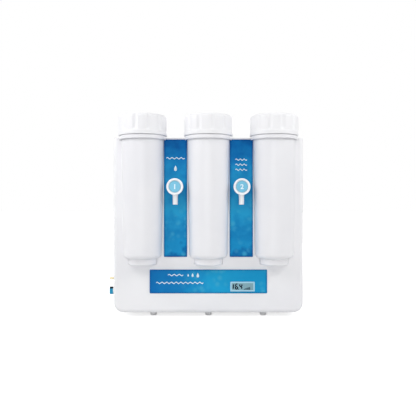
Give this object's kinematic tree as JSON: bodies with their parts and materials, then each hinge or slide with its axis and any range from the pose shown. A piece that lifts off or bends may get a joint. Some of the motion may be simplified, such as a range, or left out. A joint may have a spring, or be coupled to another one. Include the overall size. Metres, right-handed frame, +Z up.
{
  "type": "laboratory water purifier",
  "caption": "White bench-top water purifier: box casing, jar filter canisters with ribbed screw caps, push-button taps on blue panels, number display, side inlet and drain valve.",
  "frame": {"origin": "under the middle of the centre front foot, on the surface the purifier stands on", "axes": "+X to the viewer's right, +Y from the front to the back, +Z up"},
  "size_m": [0.4154, 0.2223, 0.4165],
  "materials": {
    "shell_white": "moulded satin gloss",
    "bowl_white": "moulded gloss",
    "cap_white": "moulded gloss",
    "panel_blue": "printed gloss overlay",
    "display_white": "gloss",
    "display_grey": "polished",
    "tap_white": "gloss",
    "button_blue": "satin",
    "foot_rubber": "matte",
    "seal_rubber": "matte",
    "steel": "drawn",
    "brass": "turned",
    "valve_white": "satin",
    "handle_blue": "gloss",
    "nut_grey": "satin",
    "tube_white": "satin",
    "board_green": "solder mask",
    "black_plastic": "moulded",
    "motor_paint": "semi-gloss",
    "cartridge_white": "fibrous"
  },
  "bodies": {
    "casing": {"front_shell": "shell_white", "rear_shell": "shell_white", "feet": "foot_rubber", "left_bowl": "bowl_white", "middle_bowl": "bowl_white", "right_bowl": "bowl_white", "carbon_cartridge": "cartridge_white", "membrane_element": "cartridge_white", "resin_cartridge": "cartridge_white", "left_panel": "panel_blue", "right_panel": "panel_blue", "lower_panel": "panel_blue", "display_frame": "display_white", "display_pane": "display_grey", "display_module": "board_green", "control_board": "board_green", "board_parts": "black_plastic", "left_tap_body": "tap_white", "right_tap_body": "tap_white", "left_tap_ring": "tap_white", "right_tap_ring": "tap_white", "left_tap_spring": "steel", "right_tap_spring": "steel", "tap_gaskets": "seal_rubber", "tap_nuts": "nut_grey", "feed_fitting": "brass", "valve_body": "valve_white", "bulkhead_nuts": "brass", "solenoid_valve": "black_plastic", "solenoid_coil": "black_plastic", "pump_motor": "motor_paint", "pump_head": "black_plastic", "pump_bracket": "steel", "pump_mounts": "seal_rubber", "pressure_switch": "black_plastic", "permeate_tee": "tube_white", "resistivity_cell": "tube_white", "feed_tubes": "tube_white", "product_tubes": "tube_white", "drain_tube": "tube_white", "power_jack": "black_plastic"},
    "left_lid": {"left_plug": "cap_white", "left_seal": "seal_rubber"},
    "left_cap": {"left_cap": "cap_white"},
    "middle_lid": {"middle_plug": "cap_white", "middle_seal": "seal_rubber"},
    "middle_cap": {"middle_cap": "cap_white"},
    "right_lid": {"right_plug": "cap_white", "right_seal": "seal_rubber"},
    "right_cap": {"right_cap": "cap_white"},
    "left_button": {"left_tap_button": "button_blue", "left_tap_stem": "steel"},
    "right_button": {"right_tap_button": "button_blue", "right_tap_stem": "steel"},
    "drain_cock": {"valve_plug": "valve_white", "valve_handle": "handle_blue"}
  },
  "joints": [
    {"name": "left_cap_lift", "type": "slide", "parent": "casing", "child": "left_lid", "axis": [0, 0, 1], "range_m": [0, 0.012]},
    {"name": "left_cap_turn", "type": "hinge", "parent": "left_lid", "child": "left_cap", "pos_m": [-0.136, -0.025, 0.404], "axis": [0, 0, 1], "range_deg": [0, 720]},
    {"name": "middle_cap_lift", "type": "slide", "parent": "casing", "child": "middle_lid", "axis": [0, 0, 1], "range_m": [0, 0.012]},
    {"name": "middle_cap_turn", "type": "hinge", "parent": "middle_lid", "child": "middle_cap", "pos_m": [0, -0.025, 0.404], "axis": [0, 0, 1], "range_deg": [0, 720]},
    {"name": "right_cap_lift", "type": "slide", "parent": "casing", "child": "right_lid", "axis": [0, 0, 1], "range_m": [0, 0.012]},
    {"name": "right_cap_turn", "type": "hinge", "parent": "right_lid", "child": "right_cap", "pos_m": [0.136, -0.025, 0.404], "axis": [0, 0, 1], "range_deg": [0, 720]},
    {"name": "left_tap_press", "type": "slide", "parent": "casing", "child": "left_button", "axis": [0, 1, 0], "range_m": [0, 0.004], "stiffness_N_per_m": 600, "springref_m": -0.004, "deforming": ["left_tap_spring"]},
    {"name": "right_tap_press", "type": "slide", "parent": "casing", "child": "right_button", "axis": [0, 1, 0], "range_m": [0, 0.004], "stiffness_N_per_m": 600, "springref_m": -0.004, "deforming": ["right_tap_spring"]},
    {"name": "drain_valve_turn", "type": "hinge", "parent": "casing", "child": "drain_cock", "pos_m": [-0.205, 0.0498, 0.043], "axis": [-1, 0, 0], "range_deg": [0, 90]}
  ],
  "couplings": [
    {"joint": "left_cap_lift", "follows": "left_cap_turn", "m_per_rad": 0.0009549},
    {"joint": "middle_cap_lift", "follows": "middle_cap_turn", "m_per_rad": 0.0009549},
    {"joint": "right_cap_lift", "follows": "right_cap_turn", "m_per_rad": 0.0009549}
  ]
}
